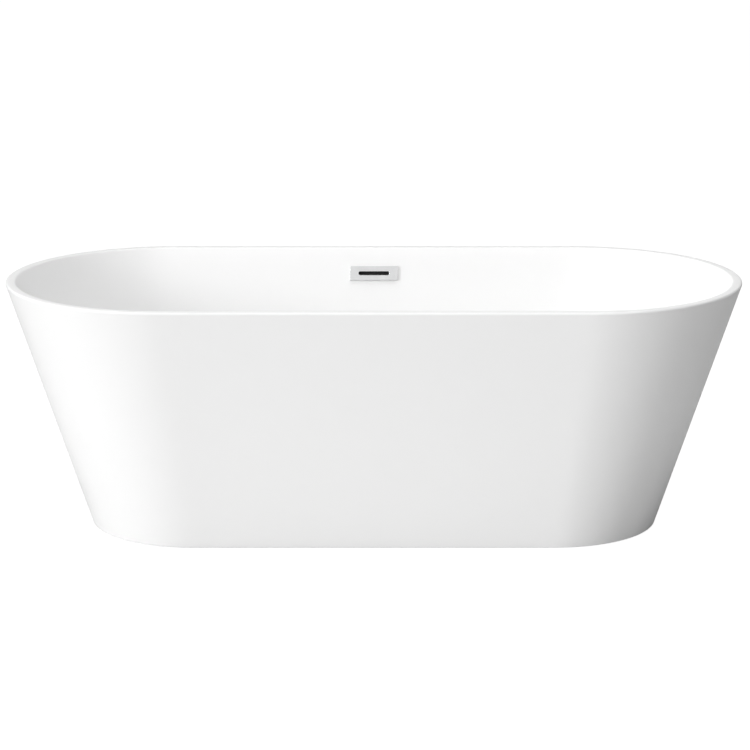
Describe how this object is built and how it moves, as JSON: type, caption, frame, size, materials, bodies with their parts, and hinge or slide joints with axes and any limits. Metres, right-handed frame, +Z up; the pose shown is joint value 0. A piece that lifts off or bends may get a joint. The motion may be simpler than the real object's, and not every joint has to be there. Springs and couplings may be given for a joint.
{
  "type": "freestanding bathtub",
  "caption": "Oval freestanding bathtub with a thin rim, straight tapered skirt, slotted overflow on the long back wall, push plug waste and levelling feet.",
  "frame": {"origin": "on the floor under the middle of the tub", "axes": "+X along the tub, +Y towards the long side with the overflow, +Z up"},
  "size_m": [1.6999, 0.75, 0.58],
  "materials": {
    "acrylic": "gloss white sanitary acrylic",
    "bond_resin": "cured resin and glass mat",
    "board": "resin-coated board",
    "frame_paint": "black powder coat",
    "zinc_steel": "zinc-plated",
    "stainless": "brushed stainless",
    "chrome": "polished chrome plate",
    "brass": "turned brass",
    "rubber": "matt black rubber",
    "waste_plastic": "moulded black plastic",
    "hose_plastic": "grey flexible plastic hose",
    "foot_plastic": "moulded black plastic"
  },
  "bodies": {
    "tub": {"basin_shell": "acrylic", "outer_skirt": "acrylic", "rim_bond_strip": "bond_resin", "base_board": "board", "frame_rail_front": "frame_paint", "frame_rail_back": "frame_paint", "crossbar_left": "frame_paint", "crossbar_right": "frame_paint", "crossbar_mid_left": "frame_paint", "crossbar_mid_right": "frame_paint", "board_screws": "zinc_steel", "side_brackets": "frame_paint", "end_brackets": "frame_paint", "flange_screws": "zinc_steel", "foot_weld_nuts": "zinc_steel", "foot_lock_nuts": "zinc_steel", "overflow_cover": "chrome", "overflow_clamp_plate": "stainless", "overflow_front_gasket": "rubber", "overflow_rear_gasket": "rubber", "overflow_body": "waste_plastic", "overflow_screws": "zinc_steel", "overflow_hose": "hose_plastic", "hose_clamp_upper": "stainless", "hose_clamp_lower": "stainless", "drain_flange": "chrome", "drain_upper_seal": "rubber", "drain_lower_seal": "rubber", "drain_body": "waste_plastic", "tail_washer": "rubber", "tail_nut": "waste_plastic", "tailpiece": "chrome", "cartridge_housing": "brass", "cartridge_end_plug": "brass", "cartridge_spring": "stainless"},
    "plug": {"plug_stem": "brass", "plug_cap": "chrome", "plug_seal": "rubber"},
    "pad_front_left": {"foot_pad_front_left": "foot_plastic"},
    "stem_front_left": {"foot_stem_front_left": "zinc_steel"},
    "pad_back_left": {"foot_pad_back_left": "foot_plastic"},
    "stem_back_left": {"foot_stem_back_left": "zinc_steel"},
    "pad_front_right": {"foot_pad_front_right": "foot_plastic"},
    "stem_front_right": {"foot_stem_front_right": "zinc_steel"},
    "pad_back_right": {"foot_pad_back_right": "foot_plastic"},
    "stem_back_right": {"foot_stem_back_right": "zinc_steel"}
  },
  "joints": [
    {"name": "plug_press", "type": "slide", "parent": "tub", "child": "plug", "axis": [0, 0, -1], "range_m": [0, 0.008], "stiffness_N_per_m": 600, "springref_m": -0.01, "deforming": ["cartridge_spring"]},
    {"name": "foot_lift_front_left", "type": "slide", "parent": "tub", "child": "pad_front_left", "axis": [0, 0, -1], "range_m": [0, 0.02]},
    {"name": "foot_turn_front_left", "type": "hinge", "parent": "pad_front_left", "child": "stem_front_left", "pos_m": [-0.43, -0.17, 0.05], "axis": [0, 0, -1], "range_deg": [0, 4800]},
    {"name": "foot_lift_back_left", "type": "slide", "parent": "tub", "child": "pad_back_left", "axis": [0, 0, -1], "range_m": [0, 0.02]},
    {"name": "foot_turn_back_left", "type": "hinge", "parent": "pad_back_left", "child": "stem_back_left", "pos_m": [-0.43, 0.17, 0.05], "axis": [0, 0, -1], "range_deg": [0, 4800]},
    {"name": "foot_lift_front_right", "type": "slide", "parent": "tub", "child": "pad_front_right", "axis": [0, 0, -1], "range_m": [0, 0.02]},
    {"name": "foot_turn_front_right", "type": "hinge", "parent": "pad_front_right", "child": "stem_front_right", "pos_m": [0.43, -0.17, 0.05], "axis": [0, 0, -1], "range_deg": [0, 4800]},
    {"name": "foot_lift_back_right", "type": "slide", "parent": "tub", "child": "pad_back_right", "axis": [0, 0, -1], "range_m": [0, 0.02]},
    {"name": "foot_turn_back_right", "type": "hinge", "parent": "pad_back_right", "child": "stem_back_right", "pos_m": [0.43, 0.17, 0.05], "axis": [0, 0, -1], "range_deg": [0, 4800]}
  ],
  "couplings": [
    {"joint": "foot_turn_front_left", "follows": "foot_lift_front_left", "rad_per_m": 4188.8},
    {"joint": "foot_turn_back_left", "follows": "foot_lift_back_left", "rad_per_m": 4188.8},
    {"joint": "foot_turn_front_right", "follows": "foot_lift_front_right", "rad_per_m": 4188.8},
    {"joint": "foot_turn_back_right", "follows": "foot_lift_back_right", "rad_per_m": 4188.8}
  ]
}
